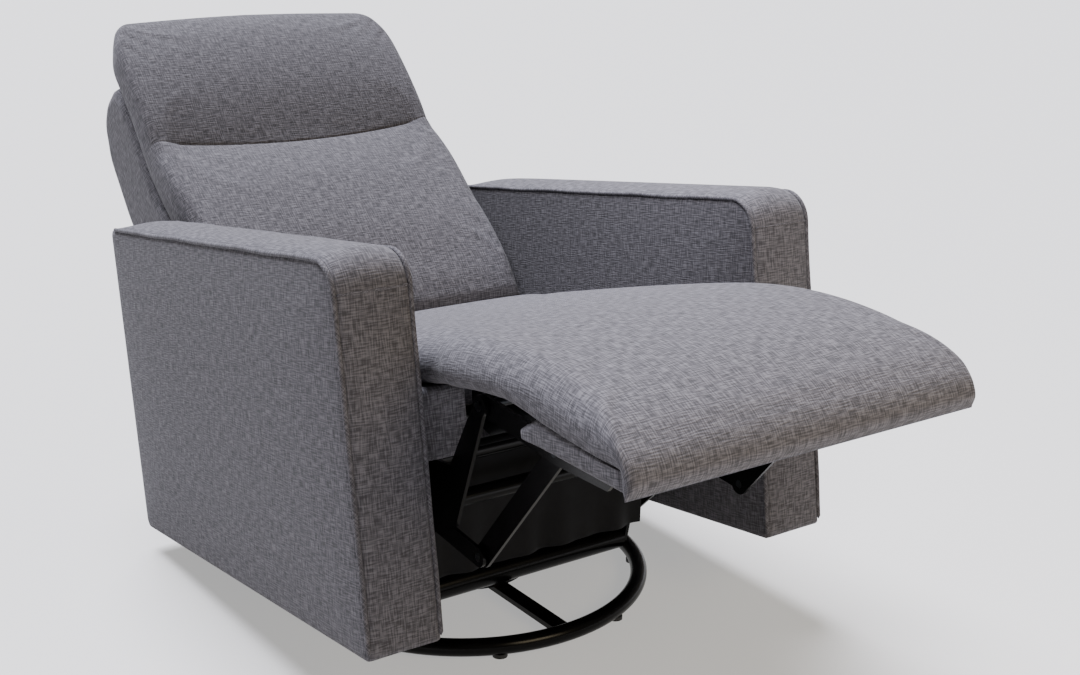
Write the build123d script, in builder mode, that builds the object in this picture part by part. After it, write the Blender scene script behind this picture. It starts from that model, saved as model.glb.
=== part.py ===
from build123d import *
import os
from math import atan2, cos, degrees, hypot, radians, sin

# Swivel glider recliner for a nursery, upholstered, drawn reclined with the footrest out.
# Millimetres, +Z up, the chair faces -Y. The origin is on the floor, under the middle of its length.
# The upholstered body leans back on its glide linkage, so its pieces are drawn in a tilted frame:
# x across, v back from the front of the arms and h up from the bottom of the arms.

os.makedirs("parts", exist_ok=True)

# Overall sizes
overall_width = 762
arm_width = 106
arm_height = 494
arm_depth = 779
arm_front_height = 140
body_tilt = 7.5
swivel_setback = 384.5
swivel_forward = 22
clear = 0.3
running = 0.05

# Base
ring_radius = 267.5
ring_tube = 26
glide_pad_radius = 11
glide_pad_height = 3
glide_pad_wrap = 3
glide_pad_count = 8
leg_width = 26
leg_thickness = 8
leg_drop = 4
hub_radius = 92
hub_thickness = 6
washer_radius = 84
washer_thickness = 6
king_radius = 10
king_head_radius = 17
king_head_height = 8
bolt_sides = 6

# Swivel frame and glide linkage
channel_width = 46
channel_height = 22
channel_spacing = 130
cross_tube = 40
cross_tube_wall = 2
cross_tube_spread = 220
post_width = 34
link_width = 30
link_thickness = 6
post_thickness = 6
plate_thickness = 5
layer_gap = 2
front_link_length = 111.6
front_link_lean = 20.2
rear_link_length = 140
rear_link_lean = -10
glide_pin_radius = 6
rear_bush_play = 3.6
link_play = 0.4
lower_pivot_v = 276
lower_pivot_span = 240
lower_pivot_h = 12

# Chair chassis
rail_thickness = 44
plate_foot = 18
plate_top_gap = 24
plate_waist_h = 96
stretcher_tube = 25
front_stretcher_v = 150
front_stretcher_h = 186
rear_stretcher_v = 705
rear_stretcher_h = 96
rail_depth = 76
rail_rear_v = 606
block_front_v = 22
block_length = 84
block_width = 78
block_bottom_h = 212
strap_count = 6
strap_width = 50
strap_thickness = 3
bolt_radius = 4
bolt_head_radius = 8
bolt_head_height = 5
bolt_length = 36
bolt_inset = 60
panel_thickness = 18
panel_height = 110
panel_bottom_h = 26

# Arms
arm_corner_radius = 38
arm_edge_radius = 9
arm_wall = 11
arm_board = 18
arm_post_v = 390

# Seat pad
pad_side_gap = 12
pad_front_bottom = 318.9
pad_slope = 0.1263
pad_front_top = 386
pad_middle_top = 364
pad_rear_top = 318
pad_middle_v = 255
pad_rear_v = 582
pad_rear_tuck = 14
pad_rear_round = 12
pad_split_v = -58
pad_split_gap = 4

# Footrest
hinge_v = -60
hinge_h = 300
hinge_rod_radius = 6
eye_radius = 14
crank_v = 130
crank_h = 130
crank_reach_v = -145
crank_reach_h = -34
crank_tube_radius = 12
crank_width = 26
board_rear_v = -192
board_bevel_v = -232
board_rear_h = 301
board_top_h = 318.6
board_front_v = -374
board_front_top_h = 290.5
board_front_bottom_h = 259.5
board_rear_bottom_h = 287
board_side_gap = 17
board_core = 12
wrap_wall = 8
arm_bar_depth = 30
arm_bar_end_v = -335
lip_bottom_h = 257.5
lip_length = 15
lip_nose_v = -397
lip_nose_h = 280
nose_top_v = -368
nose_top_h = 313
footpad_middle_v = -230
footpad_middle_h = 364

# Back
crease_v = 577
crease_h = 310
back_angle = 44.03
back_pivot_depth = 52
back_pivot_rise = 37
heel_radius = 51
heel_low_angle = 60
heel_mid_angle = 15
heel_rise = 4
back_side_gap = 13
lumbar_front = -20
lumbar_top = 424
crease_front = -7
head_bottom = 431
head_front = -26
head_top = 690
head_shoulder = 640
head_brow_rise = 20
head_crest_depth = 11.9
head_crest_drop = 1.5
shell_front = 36
cushion_rear = shell_front - clear
shell_top = 624
shell_top_depth = 88
shell_shoulder = 556
shell_rear_top = 598
shell_rear_top_depth = 150
shell_top_bulge_depth = 128
shell_top_bulge = 613
shell_rear_mid = 426
shell_rear_mid_depth = 205
shell_rear_bulge_depth = 191
shell_bottom = 8
shell_bottom_depth = 196
shell_wall = 16
shell_top_wall = 32
shell_rear_wall = 24
shell_edge_radius = 14
frame_rail_depth = 40
frame_rail_bottom = 68
frame_rail_top = 540
back_rail_thickness = 20
frame_bar = 42
frame_low_bar_rise = 63
hinge_plate_rise = 42
strap_pitch = 88

# Crown of the padded pieces, from the middle of the width to its ends
crown_shoulder = 0.78
crown_shoulder_drop = 7
crown_edge_drop = 24
crown_edge_draw = 9

# Frames of reference
tilt = radians(body_tilt)
swivel_y = -swivel_forward
arm_inner_x = overall_width / 2 - arm_width
floor_tube_z = glide_pad_height + ring_tube / 2

# Widths between the arms, from the middle outwards
plate_outer_x = arm_inner_x - rail_thickness
plate_inner_x = plate_outer_x - plate_thickness
block_inner_x = arm_inner_x - block_width
pad_half_width = arm_inner_x - pad_side_gap
board_half_width = arm_inner_x - board_side_gap
back_half_width = arm_inner_x - back_side_gap

BODY = Plane(
    origin=(0, swivel_y - swivel_setback, arm_front_height),
    x_dir=(1, 0, 0),
    z_dir=(0, sin(tilt), cos(tilt)),
)
CREASE = BODY.from_local_coords((0, crease_v, crease_h))
lean = radians(back_angle + body_tilt)
BACK = Plane(origin=CREASE, x_dir=(1, 0, 0), z_dir=(0, sin(lean), cos(lean)))


def body_side(x):
    """Side-view plane of the tilted body at x, with v and h as its axes, facing +X."""
    return Plane(BODY.from_local_coords((x, 0, 0)), x_dir=(0, cos(tilt), -sin(tilt)), z_dir=(1, 0, 0))


def back_side(x):
    """Side-view plane of the backrest at x: depth behind its front line, then rise, facing +X."""
    return Plane(BACK.from_local_coords((x, 0, 0)), x_dir=(0, cos(lean), -sin(lean)), z_dir=(1, 0, 0))


def level_side(x):
    """Side-view plane of the level base at x, with Y and Z as its axes, facing +X."""
    return Plane.YZ.offset(x)


def level_point(v, h):
    """The Y and Z of a point of the tilted body."""
    place = BODY.from_local_coords((0, v, h))
    return place.Y, place.Z


def save(piece, label):
    """Labels a finished piece and writes it under its own name."""
    piece.part.label = label
    export_step(piece.part, f"parts/{label}.step")


def bar(start, end, width):
    """Round-ended flat bar between two points of the sketch."""
    reach = hypot(end[0] - start[0], end[1] - start[1])
    turn = degrees(atan2(end[1] - start[1], end[0] - start[0]))
    middle = ((start[0] + end[0]) / 2, (start[1] + end[1]) / 2)
    with Locations(Location(middle, turn)):
        SlotCenterToCenter(reach, width)


# Stack of the linkage layers, from the chair's side plates inwards
link_outer_x = plate_inner_x - layer_gap
link_inner_x = link_outer_x - link_thickness
post_outer_x = link_inner_x - layer_gap
post_inner_x = post_outer_x - post_thickness
bar_outer_x = plate_inner_x - layer_gap
bar_inner_x = bar_outer_x - plate_thickness
coupler_outer_x = bar_inner_x - layer_gap
coupler_inner_x = coupler_outer_x - plate_thickness

# Pivots of the glide linkage, in Y and Z
front_lower = level_point(lower_pivot_v, lower_pivot_h)
rear_lower = level_point(lower_pivot_v + lower_pivot_span, lower_pivot_h)
front_upper = (
    front_lower[0] - front_link_length * sin(radians(front_link_lean)),
    front_lower[1] + front_link_length * cos(radians(front_link_lean)),
)
rear_upper = (
    rear_lower[0] - rear_link_length * sin(radians(rear_link_lean)),
    rear_lower[1] + rear_link_length * cos(radians(rear_link_lean)),
)

# Heights of the base stack
leg_top_z = floor_tube_z + leg_drop
hub_top_z = leg_top_z + hub_thickness
washer_top_z = hub_top_z + washer_thickness
swivel_top_z = washer_top_z + hub_thickness
tube_z = swivel_top_z + cross_tube / 2

# Ring that stands on the floor
with BuildPart() as base_ring:
    with BuildSketch(Plane.XZ.offset(-swivel_y)):
        with Locations((ring_radius, floor_tube_z)):
            Circle(ring_tube / 2)
    revolve(axis=Axis((0, swivel_y, 0), (0, 0, 1)))
save(base_ring, "base_ring")

# Plastic pads pressed up under the ring, cupped to its tube
with BuildPart() as floor_glides:
    with BuildSketch(Plane.XY):
        with Locations((0, swivel_y)):
            with PolarLocations(ring_radius, glide_pad_count, start_angle=180 / glide_pad_count):
                Circle(glide_pad_radius)
    extrude(amount=glide_pad_height + glide_pad_wrap)
    add(base_ring.part, mode=Mode.SUBTRACT)
save(floor_glides, "floor_glides")

# Crossed flat legs, welded into the ring
with BuildPart() as cross_legs:
    with BuildSketch(Plane.XY.offset(leg_top_z - leg_thickness)):
        with Locations((0, swivel_y)):
            Rectangle(2 * ring_radius, leg_width)
            Rectangle(leg_width, 2 * ring_radius)
            Circle(king_radius, mode=Mode.SUBTRACT)
    extrude(amount=leg_thickness)
    add(base_ring.part, mode=Mode.SUBTRACT)
save(cross_legs, "cross_legs")

# Lower swivel plate, welded on the legs
with BuildPart() as lower_swivel_plate:
    with BuildSketch(Plane.XY.offset(leg_top_z)):
        with Locations((0, swivel_y)):
            Circle(hub_radius)
            Circle(king_radius, mode=Mode.SUBTRACT)
    extrude(amount=hub_thickness)
save(lower_swivel_plate, "lower_swivel_plate")

# Slippery washer that carries the turning load
with BuildPart() as swivel_washer:
    with BuildSketch(Plane.XY.offset(hub_top_z)):
        with Locations((0, swivel_y)):
            Circle(washer_radius)
            Circle(king_radius + running, mode=Mode.SUBTRACT)
    extrude(amount=washer_thickness)
save(swivel_washer, "swivel_washer")

# King bolt through both swivel plates, with its head under the legs and its nut on top
with BuildPart() as king_bolt:
    with BuildSketch(Plane.XY.offset(leg_top_z - leg_thickness - king_head_height)):
        with Locations((0, swivel_y)):
            RegularPolygon(king_head_radius, bolt_sides)
    extrude(amount=king_head_height)
    with BuildSketch(Plane.XY.offset(leg_top_z - leg_thickness)):
        with Locations((0, swivel_y)):
            Circle(king_radius)
    extrude(amount=swivel_top_z - leg_top_z + leg_thickness + king_head_height)
save(king_bolt, "king_bolt")

with BuildPart() as king_nut:
    with BuildSketch(Plane.XY.offset(swivel_top_z)):
        with Locations((0, swivel_y)):
            RegularPolygon(king_head_radius, bolt_sides)
            Circle(king_radius, mode=Mode.SUBTRACT)
    extrude(amount=king_head_height)
save(king_nut, "king_nut")

# Upper swivel plate, which turns on the washer
with BuildPart() as upper_swivel_plate:
    with BuildSketch(Plane.XY.offset(washer_top_z)):
        with Locations((0, swivel_y)):
            RectangleRounded(channel_spacing + channel_width, 2 * hub_radius, channel_width / 2)
            Circle(king_radius + running, mode=Mode.SUBTRACT)
    extrude(amount=hub_thickness)
save(upper_swivel_plate, "upper_swivel_plate")

# Fore-and-aft channels that join the swivel plate to the cross tubes
tube_front_y = swivel_y - cross_tube_spread / 2
tube_rear_y = swivel_y + cross_tube_spread / 2
with BuildPart() as swivel_channels:
    with BuildSketch(Plane.XY.offset(swivel_top_z)):
        with Locations((0, swivel_y)):
            with GridLocations(channel_spacing, 0, 2, 1):
                Rectangle(channel_width, cross_tube_spread)
    extrude(amount=channel_height)
    for tube_y in (tube_front_y, tube_rear_y):
        with BuildSketch(level_side(-overall_width / 2)):
            with Locations((tube_y, tube_z)):
                Circle(cross_tube / 2)
        extrude(amount=overall_width, mode=Mode.SUBTRACT)
save(swivel_channels, "swivel_channels")

# Front and rear cross tubes of the swivel frame
for label, tube_y in (("front_cross_tube", tube_front_y), ("rear_cross_tube", tube_rear_y)):
    with BuildPart() as cross_tube_part:
        with BuildSketch(level_side(-post_inner_x)):
            with Locations((tube_y, tube_z)):
                Circle(cross_tube / 2)
                Circle(cross_tube / 2 - cross_tube_wall, mode=Mode.SUBTRACT)
        extrude(amount=2 * post_inner_x)
    save(cross_tube_part, label)

# Upright posts at the tube ends, which hold the links' upper pivots
with BuildPart() as glide_posts:
    with BuildSketch(level_side(post_inner_x)):
        for foot, top in (((tube_front_y, tube_z), front_upper), ((tube_rear_y, tube_z), rear_upper)):
            bar(foot, top, post_width)
        with Locations(front_upper, rear_upper):
            Circle(glide_pin_radius, mode=Mode.SUBTRACT)
    extrude(amount=post_thickness)
    mirror(about=Plane.YZ)
save(glide_posts, "glide_posts")

# Rivets in the posts, on which the links hang
with BuildPart() as upper_pivot_pins:
    with BuildSketch(level_side(post_inner_x)):
        with Locations(front_upper, rear_upper):
            Circle(glide_pin_radius)
    extrude(amount=link_outer_x - post_inner_x)
    with BuildSketch(level_side(post_inner_x - layer_gap)):
        with Locations(front_upper, rear_upper):
            Circle(glide_pin_radius + layer_gap)
    extrude(amount=layer_gap)
    mirror(about=Plane.YZ)
save(upper_pivot_pins, "upper_pivot_pins")

# Hanging links: the front pair carries the chair, the rear pair steadies it in a rubber-bushed eye
for label, lower, upper, play in (
    ("front_glide_links", front_lower, front_upper, running),
    ("rear_glide_links", rear_lower, rear_upper, rear_bush_play),
):
    with BuildPart() as glide_links:
        with BuildSketch(level_side(link_inner_x)):
            bar(lower, upper, link_width)
            with Locations(upper):
                Circle(glide_pin_radius + running, mode=Mode.SUBTRACT)
            with Locations(lower):
                Circle(glide_pin_radius + play, mode=Mode.SUBTRACT)
        extrude(amount=link_thickness)
        mirror(about=Plane.YZ)
    save(glide_links, label)


def seat_line(v):
    """Height of the seat frame's top, which falls towards the back."""
    return pad_front_bottom - pad_slope * v - clear


# Side plates of the recliner mechanism, from the footrest hinge back to the backrest pivot
back_pivot = (
    crease_v + back_pivot_depth * cos(radians(back_angle)) + back_pivot_rise * sin(radians(back_angle)),
    crease_h - back_pivot_depth * sin(radians(back_angle)) + back_pivot_rise * cos(radians(back_angle)),
)
block_rear_v = block_front_v + block_length
rear_pivot_v = lower_pivot_v + lower_pivot_span
lower_pivots = ((lower_pivot_v, lower_pivot_h), (rear_pivot_v, lower_pivot_h))
bolt_places = [
    (v, seat_line(v) - (plate_top_gap + rail_depth) / 2)
    for v in (block_rear_v + bolt_inset, rail_rear_v - bolt_inset)
]
for side, label in ((-1, "left"), (1, "right")):
    with BuildPart() as mechanism_plate:
        with BuildSketch(body_side(plate_inner_x if side > 0 else -plate_outer_x)):
            with BuildLine():
                Polyline(
                    (hinge_v - eye_radius, hinge_h),
                    (hinge_v + eye_radius, hinge_h),
                    (block_front_v, block_bottom_h - clear),
                    (block_rear_v, block_bottom_h - clear),
                    (block_rear_v + clear, seat_line(block_rear_v) - plate_top_gap),
                    (rail_rear_v, seat_line(rail_rear_v) - plate_top_gap),
                    (back_pivot[0] - eye_radius, seat_line(rail_rear_v) - plate_top_gap),
                    (back_pivot[0] - eye_radius, back_pivot[1]),
                    (back_pivot[0] + eye_radius, back_pivot[1]),
                    (rear_stretcher_v + stretcher_tube, rear_stretcher_h + stretcher_tube),
                    (rear_stretcher_v + stretcher_tube, rear_stretcher_h - stretcher_tube),
                    (rear_pivot_v + plate_foot, lower_pivot_h - plate_foot),
                    (lower_pivot_v - plate_foot, lower_pivot_h - plate_foot),
                    (crank_v - eye_radius, plate_waist_h),
                    (block_front_v, crank_h),
                    close=True,
                )
            make_face()
            with Locations((hinge_v, hinge_h), back_pivot):
                Circle(eye_radius)
            with Locations((hinge_v, hinge_h)):
                Circle(hinge_rod_radius, mode=Mode.SUBTRACT)
            with Locations(back_pivot):
                Circle(glide_pin_radius, mode=Mode.SUBTRACT)
            with Locations(*lower_pivots):
                Circle(glide_pin_radius, mode=Mode.SUBTRACT)
            with Locations((crank_v, crank_h)):
                Circle(crank_tube_radius + running, mode=Mode.SUBTRACT)
            with Locations((front_stretcher_v, front_stretcher_h), (rear_stretcher_v, rear_stretcher_h)):
                Circle(stretcher_tube / 2, mode=Mode.SUBTRACT)
            with Locations(*bolt_places):
                Circle(bolt_radius, mode=Mode.SUBTRACT)
        extrude(amount=plate_thickness)
    save(mechanism_plate, f"mechanism_plate_{label}")

# Rivets of the links' lower eyes
with BuildPart() as lower_pivot_pins:
    with BuildSketch(body_side(link_inner_x)):
        with Locations(*lower_pivots):
            Circle(glide_pin_radius)
    extrude(amount=plate_outer_x - link_inner_x)
    with BuildSketch(body_side(plate_outer_x)):
        with Locations(*lower_pivots):
            Circle(glide_pin_radius + layer_gap)
    extrude(amount=layer_gap)
    mirror(about=Plane.YZ)
save(lower_pivot_pins, "lower_pivot_pins")

# Stretcher tubes between the side plates
for label, v, h in (
    ("front_stretcher", front_stretcher_v, front_stretcher_h),
    ("rear_stretcher", rear_stretcher_v, rear_stretcher_h),
):
    with BuildPart() as stretcher:
        with BuildSketch(body_side(-plate_outer_x)):
            with Locations((v, h)):
                Circle(stretcher_tube / 2)
                Circle(stretcher_tube / 2 - cross_tube_wall, mode=Mode.SUBTRACT)
        extrude(amount=2 * plate_outer_x)
    save(stretcher, label)

# Timber seat rails, screwed to the side plates and the arms
for side, label in ((-1, "left"), (1, "right")):
    with BuildPart() as seat_rail:
        with BuildSketch(body_side(plate_outer_x if side > 0 else -arm_inner_x)):
            with BuildLine():
                Polyline(
                    (block_rear_v, seat_line(block_rear_v)),
                    (rail_rear_v, seat_line(rail_rear_v)),
                    (rail_rear_v, seat_line(rail_rear_v) - rail_depth),
                    (block_rear_v, seat_line(block_rear_v) - rail_depth),
                    close=True,
                )
            make_face()
        extrude(amount=rail_thickness)
        with BuildSketch(body_side(side * plate_outer_x)):
            with Locations(*bolt_places):
                Circle(bolt_radius)
        extrude(amount=side * (bolt_length - plate_thickness), mode=Mode.SUBTRACT)
    save(seat_rail, f"seat_rail_{label}")

# Fabric-wrapped corner blocks at the front of the seat frame
for side, label in ((-1, "left"), (1, "right")):
    with BuildPart() as seat_block:
        with BuildSketch(body_side(block_inner_x if side > 0 else -arm_inner_x)):
            with BuildLine():
                Polyline(
                    (block_front_v, seat_line(block_front_v)),
                    (block_rear_v, seat_line(block_rear_v)),
                    (block_rear_v, block_bottom_h),
                    (block_front_v, block_bottom_h),
                    close=True,
                )
            make_face()
        extrude(amount=block_width)
        fillet(seat_block.edges().filter_by(Axis.X).group_by(Axis.Y)[0], arm_edge_radius)
    save(seat_block, f"seat_block_{label}")

# Elastic straps across the seat, let into the rails
strap_run = (rail_rear_v - block_rear_v) / strap_count
with BuildPart() as seat_straps:
    for index in range(strap_count):
        strap_v = block_rear_v + (index + 0.5) * strap_run
        drop = pad_slope * strap_width / 2
        with BuildSketch(body_side(-plate_outer_x)):
            with BuildLine():
                Polyline(
                    (strap_v - strap_width / 2, seat_line(strap_v) + drop),
                    (strap_v + strap_width / 2, seat_line(strap_v) - drop),
                    (strap_v + strap_width / 2, seat_line(strap_v) - drop - strap_thickness),
                    (strap_v - strap_width / 2, seat_line(strap_v) + drop - strap_thickness),
                    close=True,
                )
            make_face()
        extrude(amount=2 * plate_outer_x)
save(seat_straps, "seat_straps")

# Board across the back of the seat box, between the arms
with BuildPart() as rear_panel:
    with BuildSketch(body_side(-arm_inner_x)):
        with Locations((arm_depth - arm_wall - panel_thickness / 2, panel_bottom_h + panel_height / 2)):
            Rectangle(panel_thickness, panel_height)
    extrude(amount=2 * arm_inner_x)
save(rear_panel, "rear_panel")

# Arms: a glued board frame inside a padded fabric cover with a rounded front corner
cavity_x = arm_inner_x + arm_wall
cavity_width = arm_width - 2 * arm_wall
arm_frame_depth = arm_depth - 2 * arm_wall
arm_frame_height = arm_height - arm_wall - arm_board
arm_frame_middle = arm_board + arm_frame_height / 2
for side, label in ((-1, "left"), (1, "right")):
    outer_start = arm_inner_x if side > 0 else -arm_inner_x - arm_width
    inner_start = cavity_x if side > 0 else -cavity_x - cavity_width
    with BuildPart() as arm_cover:
        with BuildSketch(body_side(outer_start)) as arm_outline:
            with Locations((arm_depth / 2, arm_height / 2)):
                Rectangle(arm_depth, arm_height)
            front_top = arm_outline.vertices().group_by(Axis.Y)[-1].sort_by(Axis.X)[0]
            fillet(front_top, arm_corner_radius)
        extrude(amount=arm_width)
        rims = arm_cover.faces().filter_by(Axis.X).edges()
        fillet(rims, arm_edge_radius)
        with BuildSketch(body_side(inner_start)):
            with Locations((arm_depth / 2, (arm_height - arm_wall) / 2)):
                Rectangle(arm_frame_depth, arm_height - arm_wall)
        extrude(amount=cavity_width, mode=Mode.SUBTRACT)
    save(arm_cover, f"arm_cover_{label}")

    with BuildPart() as arm_frame:
        with BuildSketch(body_side(inner_start)):
            with Locations((arm_depth / 2, arm_frame_middle)):
                Rectangle(arm_frame_depth, arm_frame_height)
                Rectangle(
                    arm_frame_depth - 2 * arm_board,
                    arm_frame_height - 2 * arm_board,
                    mode=Mode.SUBTRACT,
                )
            with Locations((arm_post_v, arm_frame_middle)):
                Rectangle(arm_board, arm_frame_height)
        extrude(amount=cavity_width)
    save(arm_frame, f"arm_frame_{label}")

# Bolts through the side plates into the rails
with BuildPart() as rail_bolts:
    with BuildSketch(body_side(plate_inner_x - bolt_head_height)):
        with Locations(*bolt_places):
            RegularPolygon(bolt_head_radius, bolt_sides)
    extrude(amount=bolt_head_height)
    with BuildSketch(body_side(plate_inner_x)):
        with Locations(*bolt_places):
            Circle(bolt_radius)
    extrude(amount=bolt_length)
    mirror(about=Plane.YZ)
save(rail_bolts, "rail_bolts")


def crown_stations(half_width):
    """Places across a padded piece, each with how far its top drops and how far its ends draw in."""
    return (
        (-half_width, crown_edge_drop, crown_edge_draw),
        (-crown_shoulder * half_width, crown_shoulder_drop, 0),
        (0, 0, 0),
        (crown_shoulder * half_width, crown_shoulder_drop, 0),
        (half_width, crown_edge_drop, crown_edge_draw),
    )


# Seat pad: crowned across its width, flat where it lies on the seat frame
with BuildPart() as seat_pad:
    for x, drop, draw in crown_stations(pad_half_width):
        front = (pad_split_v, pad_front_bottom - pad_slope * pad_split_v)
        front_top = (pad_split_v, pad_front_top - drop)
        rear_v = pad_rear_v - draw - pad_rear_tuck
        rear = (rear_v, pad_front_bottom - pad_slope * rear_v)
        heel = (pad_rear_v - draw, (pad_rear_top + rear[1]) / 2 - drop / 2)
        rear_top = (pad_rear_v - draw - pad_rear_round, pad_rear_top - drop)
        with BuildSketch(body_side(x)):
            with BuildLine():
                Line(front, rear)
                ThreePointArc(rear, heel, rear_top)
                ThreePointArc(rear_top, (pad_middle_v, pad_middle_top - drop), front_top)
                Line(front_top, front)
            make_face()
    loft()
save(seat_pad, "seat_pad")

# Footrest board: a plywood core in a padded fabric wrap, bevelled along its rear edge
board_fall = (board_rear_bottom_h - board_front_bottom_h) / (board_rear_v - board_front_v)


def board_bottom(v):
    """Height of the wrapped board's underside."""
    return board_front_bottom_h + board_fall * (v - board_front_v)


core_front_v = board_front_v + wrap_wall
core_rear_h = board_bottom(board_bevel_v) + wrap_wall
core_front_h = board_bottom(core_front_v) + wrap_wall
core_outline = (
    (board_bevel_v, core_rear_h),
    (board_bevel_v, core_rear_h + board_core),
    (core_front_v, core_front_h + board_core),
    (core_front_v, core_front_h),
)


with BuildPart() as footrest_wrap:
    with BuildSketch(body_side(-board_half_width)):
        with BuildLine():
            Polyline(
                (board_rear_v, board_rear_h),
                (board_bevel_v, board_top_h),
                (board_front_v, board_front_top_h),
                (board_front_v, board_front_bottom_h),
                (board_rear_v, board_rear_bottom_h),
                close=True,
            )
        make_face()
    extrude(amount=2 * board_half_width)
    with BuildSketch(body_side(wrap_wall - board_half_width)):
        with BuildLine():
            Polyline(*core_outline, close=True)
        make_face()
    extrude(amount=2 * (board_half_width - wrap_wall), mode=Mode.SUBTRACT)
save(footrest_wrap, "footrest_wrap")

with BuildPart() as footrest_board:
    with BuildSketch(body_side(wrap_wall - board_half_width)):
        with BuildLine():
            Polyline(*core_outline, close=True)
        make_face()
    extrude(amount=2 * (board_half_width - wrap_wall))
save(footrest_board, "footrest_board")

# Footrest pad: the front half of the long pad, with a lip over the board's front edge
with BuildPart() as footrest_pad:
    for x, drop, draw in crown_stations(pad_half_width):
        start_v = pad_split_v - pad_split_gap
        start = (start_v, pad_front_bottom - pad_slope * pad_split_v)
        bevel = (board_bevel_v, board_top_h + clear)
        corner = (board_front_v - clear, board_front_top_h + clear)
        lip_rear = (board_front_v - clear, lip_bottom_h)
        lip_front = (board_front_v - clear - lip_length, lip_bottom_h)
        nose = (lip_nose_v + draw, lip_nose_h)
        nose_top = (nose_top_v, nose_top_h - drop / 2)
        middle = (footpad_middle_v, footpad_middle_h - drop)
        rear_top = (start_v, pad_front_top - drop)
        with BuildSketch(body_side(x)):
            with BuildLine():
                Line(start, bevel)
                Line(bevel, corner)
                Line(corner, lip_rear)
                Line(lip_rear, lip_front)
                ThreePointArc(lip_front, nose, nose_top)
                ThreePointArc(nose_top, middle, rear_top)
                Line(rear_top, start)
            make_face()
    loft()
save(footrest_pad, "footrest_pad")

# Hinge rod across the front of the mechanism, on which the footrest swings
with BuildPart() as footrest_hinge_rod:
    with BuildSketch(body_side(-plate_outer_x - layer_gap)):
        with Locations((hinge_v, hinge_h)):
            Circle(hinge_rod_radius)
    extrude(amount=2 * (plate_outer_x + layer_gap))
save(footrest_hinge_rod, "footrest_hinge_rod")

# Swing arms of the footrest, screwed up under its board
link_joint = (hinge_v + crank_reach_v, hinge_h + crank_reach_h)
with BuildPart() as footrest_arms:
    with BuildSketch(body_side(bar_inner_x)):
        with BuildLine():
            Polyline(
                (hinge_v, hinge_h + eye_radius),
                (board_rear_v + eye_radius, board_bottom(board_rear_v + eye_radius)),
                (arm_bar_end_v, board_bottom(arm_bar_end_v)),
                (arm_bar_end_v + arm_bar_depth, board_bottom(arm_bar_end_v + arm_bar_depth) - arm_bar_depth),
                (link_joint[0], link_joint[1] - eye_radius),
                (hinge_v, hinge_h - eye_radius),
                close=True,
            )
        make_face()
        with Locations((hinge_v, hinge_h)):
            Circle(eye_radius)
            Circle(hinge_rod_radius + running, mode=Mode.SUBTRACT)
        with Locations(link_joint):
            Circle(glide_pin_radius, mode=Mode.SUBTRACT)
    extrude(amount=plate_thickness)
    mirror(about=Plane.YZ)
save(footrest_arms, "footrest_arms")

with BuildPart() as footrest_pins:
    with BuildSketch(body_side(coupler_inner_x)):
        with Locations(link_joint):
            Circle(glide_pin_radius)
    extrude(amount=bar_outer_x - coupler_inner_x)
    mirror(about=Plane.YZ)
save(footrest_pins, "footrest_pins")

# Torque tube with a crank at each end, which swings both sides of the footrest together
crank_joint = (crank_v + crank_reach_v, crank_h + crank_reach_h)
with BuildPart() as torque_tube:
    with BuildSketch(body_side(-plate_outer_x - layer_gap)):
        with Locations((crank_v, crank_h)):
            Circle(crank_tube_radius)
            Circle(crank_tube_radius - cross_tube_wall, mode=Mode.SUBTRACT)
    extrude(amount=2 * (plate_outer_x + layer_gap))
save(torque_tube, "torque_tube")

with BuildPart() as footrest_cranks:
    with BuildSketch(body_side(bar_inner_x)):
        bar((crank_v, crank_h), crank_joint, crank_width)
        with Locations((crank_v, crank_h)):
            Circle(crank_tube_radius + layer_gap)
            Circle(crank_tube_radius, mode=Mode.SUBTRACT)
        with Locations(crank_joint):
            Circle(glide_pin_radius, mode=Mode.SUBTRACT)
    extrude(amount=plate_thickness)
    mirror(about=Plane.YZ)
save(footrest_cranks, "footrest_cranks")

with BuildPart() as crank_pins:
    with BuildSketch(body_side(coupler_inner_x)):
        with Locations(crank_joint):
            Circle(glide_pin_radius)
    extrude(amount=bar_outer_x - coupler_inner_x)
    mirror(about=Plane.YZ)
save(crank_pins, "crank_pins")

# Long diagonal links from the cranks up to the footrest arms
with BuildPart() as footrest_links:
    with BuildSketch(body_side(coupler_inner_x)):
        bar(crank_joint, link_joint, link_width)
        with Locations(crank_joint):
            Circle(glide_pin_radius + running, mode=Mode.SUBTRACT)
        with Locations(link_joint):
            Circle(glide_pin_radius + link_play, mode=Mode.SUBTRACT)
    extrude(amount=plate_thickness)
    mirror(about=Plane.YZ)
save(footrest_links, "footrest_links")

# Pivot rivets of the backrest
with BuildPart() as back_pivot_pins:
    with BuildSketch(body_side(bar_inner_x - layer_gap)):
        with Locations(back_pivot):
            Circle(glide_pin_radius)
    extrude(amount=plate_outer_x - bar_inner_x + 2 * layer_gap)
    mirror(about=Plane.YZ)
save(back_pivot_pins, "back_pivot_pins")

# Hinge plates of the backrest, screwed to the inner faces of its frame
with BuildPart() as back_hinge_plates:
    with BuildSketch(back_side(bar_inner_x)):
        bar(
            (back_pivot_depth, back_pivot_rise),
            (back_pivot_depth, frame_rail_bottom + hinge_plate_rise),
            2 * eye_radius,
        )
        with Locations((back_pivot_depth, back_pivot_rise)):
            Circle(glide_pin_radius + running, mode=Mode.SUBTRACT)
    extrude(amount=plate_thickness)
    mirror(about=Plane.YZ)
save(back_hinge_plates, "back_hinge_plates")

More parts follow.
